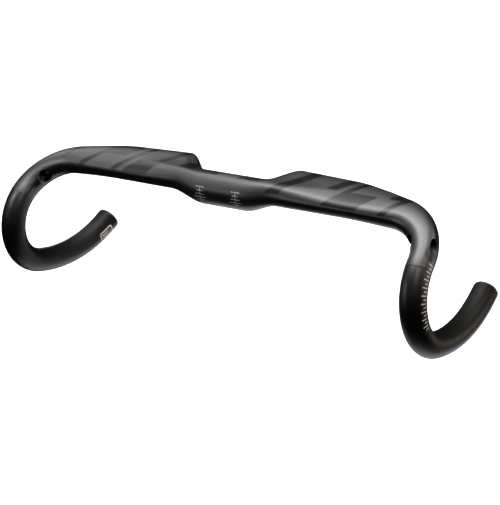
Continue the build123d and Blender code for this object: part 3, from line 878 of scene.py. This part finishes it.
def carbon_top_material():
    """Satin clear coat: slanted bars on the wings, a fine grit on the clamp zone, painted shade in the hollow
    beside it as a lower specular level, and bare rough grooves in front of the outer ports."""
    paint = Paint("carbon_top", (0.012, 0.012, 0.012), 0.38)
    grain = paint.noise(900.0)
    cloud = paint.noise(26.0, 2.0)
    mask, gap = graphic_mask(paint)
    x, y = paint.coordinates()[:2]
    side = paint.calc("ABSOLUTE", x)
    grit_zone = paint.zone(side, GRIT_ZONE, 1.0, 0.0)
    grit = paint.span(paint.noise(1500.0, 1.0), 0.60, 0.70, 0.0, 1.0)
    grit = paint.calc("MULTIPLY", grit, grit_zone)
    colour = paint.colour_mix(mask, (0.0016, 0.0017, 0.0018, 1), (0.0125, 0.0115, 0.0109, 1))
    colour = paint.colour_mix(paint.span(cloud, 0.35, 0.65, 0.0, 0.35), colour, (0.005, 0.0046, 0.0044, 1))
    colour = paint.colour_mix(paint.calc("MULTIPLY", grit, 0.35), colour, (0.10, 0.098, 0.095, 1))
    paint.feed(paint.shader.inputs["Base Color"], colour)
    rough = paint.calc("ADD", paint.span(grain, 0.3, 0.7, 0.27, 0.34), paint.calc("MULTIPLY", mask, 0.07))
    rough = paint.calc("ADD", rough, paint.calc("MULTIPLY", grit_zone, 0.03))
    paint.feed(paint.shader.inputs["Roughness"], rough)
    bare = trough_mask(paint)
    # Painted shade in the hollow beside the clamp: its specular level is cut to 0.4 of the rest.
    inner = paint.zone(side, SCOOP_SHADE_INNER, 0.0, 1.0)
    hollow = paint.calc("MULTIPLY", inner, paint.zone(side, SCOOP_SHADE_OUTER, 1.0, 0.0))
    hollow = paint.calc("MULTIPLY", hollow, paint.zone(y, SCOOP_SHADE_FRONT, 0.0, 1.0))
    gloss = paint.calc(
        "MULTIPLY", paint.span(gap, 0.0, 1.0, 0.52, 0.26), paint.span(hollow, 0.0, 1.0, 1.0, 0.4))
    gloss = paint.calc("SUBTRACT", gloss, paint.calc("MULTIPLY", bare, 0.24))
    paint.feed(paint.shader.inputs["Specular IOR Level"], gloss)
    fibre = paint.noise(1100.0, 4.0)
    relief = paint.calc("ADD", grain, paint.calc("MULTIPLY", grit, 1.5))
    relief = paint.calc("ADD", relief, paint.calc("MULTIPLY", paint.calc("MULTIPLY", fibre, bare), 6.0))
    paint.bump(relief, 0.02 * MM, 0.6)
    return paint.material


def carbon_drop_material():
    """Fine matt clear coat, a little warm; a higher specular level near the seam is a painted highlight, and
    a higher one on the underside is a painted reflection.
    """
    paint = Paint("carbon_drop", (0.016, 0.0145, 0.013), 0.46)
    grain = paint.noise(1300.0)
    cloud = paint.noise(34.0, 2.0)
    patches = paint.span(cloud, 0.35, 0.65, 0.0, 1.0)
    colour = paint.colour_mix(patches, (0.0004, 0.0004, 0.0003, 1), (0.0014, 0.0012, 0.0010, 1))
    paint.feed(paint.shader.inputs["Base Color"], colour)
    along, height = paint.coordinates()[1:]
    normal = paint.tree.nodes.new("ShaderNodeTexCoord").outputs["Normal"]
    # Painted highlight: the specular level rises high on the drop and towards the seam.
    upper = paint.calc(
        "MULTIPLY", paint.zone(height, DROP_PAINTED_SHEEN_HEIGHT, 0.16, 0.5),
        paint.zone(along, DROP_PAINTED_SHEEN_ALONG, 1.0, 0.5))
    rough = paint.calc(
        "ADD", paint.span(grain, 0.3, 0.7, 0.38, 0.46), paint.zone(height, DROP_ROUGH_HEIGHT, 0.0, -0.08))
    paint.feed(paint.shader.inputs["Roughness"], rough)
    # Painted reflection and painted shade: downward-facing surfaces get a higher specular level,
    # upward-facing ones none from this term.
    lower = paint.span(paint.coordinates(normal)[2], -0.35, 0.15, 0.42, 0.0)
    paint.feed(paint.shader.inputs["Specular IOR Level"], paint.calc("MAXIMUM", upper, lower))
    paint.bump(grain, 0.03 * MM, 0.7)
    return paint.material


def ink_material(name, colour):
    """Slightly worn light print."""
    paint = Paint(name, colour, 0.55)
    wear = paint.noise(700.0, 2.0)
    dark = tuple(c * 0.45 for c in colour)
    shade = paint.colour_mix(paint.span(wear, 0.35, 0.6, 0.0, 1.0), (*dark, 1), (*colour, 1))
    paint.feed(paint.shader.inputs["Base Color"], shade)
    paint.feed(paint.shader.inputs["Roughness"], paint.span(wear, 0.3, 0.7, 0.48, 0.62))
    paint.bump(wear, 0.01 * MM)
    return paint.material


FINISHES = {
    "carbon_top": carbon_top_material(),
    "carbon_drop": carbon_drop_material(),
    "carbon_sleeve": grainy("carbon_sleeve", (0.012, 0.012, 0.013), 0.5, 800.0, 0.03),
    "liner_nylon": grainy("liner_nylon", (0.02, 0.02, 0.02), 0.42, 500.0, 0.02),
    "grommet_rubber": grainy("grommet_rubber", (0.015, 0.015, 0.015), 0.7, 900.0, 0.03),
    "cap_plastic": grainy("cap_plastic", (0.018, 0.017, 0.016), 0.5, 1200.0, 0.04),
    "expander_plastic": grainy("expander_plastic", (0.035, 0.035, 0.035), 0.4, 300.0, 0.01),
    "nut_alloy": grainy(
        "nut_alloy", (0.58, 0.58, 0.6), 0.32, 1400.0, 0.006, 1.0, 0.08, 0.06, (1.0, 0.08, 1.0)),
    "screw_steel": grainy("screw_steel", (0.09, 0.09, 0.095), 0.4, 900.0, 0.01, 1.0, 0.2),
    "label_film": grainy("label_film", (0.03, 0.0285, 0.026), 0.36, 600.0, 0.01),
}
SCALE_INK = ink_material("scale_ink", (0.42, 0.41, 0.39))
LABEL_INK = ink_material("label_ink", (0.60, 0.58, 0.54))
LEVER_INK = ink_material("lever_ink", (0.85, 0.81, 0.72))
NODE_FINISH = {part["node"]: part["material_slot"] for part in frame["record"]["subparts"]}


def finished(piece, slot_name, material=None):
    """Gives a piece its finish, the slot's own finish unless a material is given, and lets it ride on the
    bar.
    """
    piece.data.materials.clear()
    piece.data.materials.append(material or FINISHES[slot_name])
    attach(piece, BAR)
    return piece


add_camera()
add_studio()

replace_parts(finished(top_skin(), "carbon_top"), "top_moulding")
for side, sign in BOTH_SIDES:
    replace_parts(finished(drop_skin(side, sign), "carbon_drop"), side + "_drop")
    finished(clamp_scale(side, sign), "label_film", SCALE_INK)
    finished(lever_scale(side, sign), "label_film", LEVER_INK)
finished(label_outline(), "label_film", LABEL_INK)
for name, node in frame["nodes"].items():
    if not node.hide_render:
        node.data.materials.clear()
        node.data.materials.append(FINISHES[NODE_FINISH[name]])
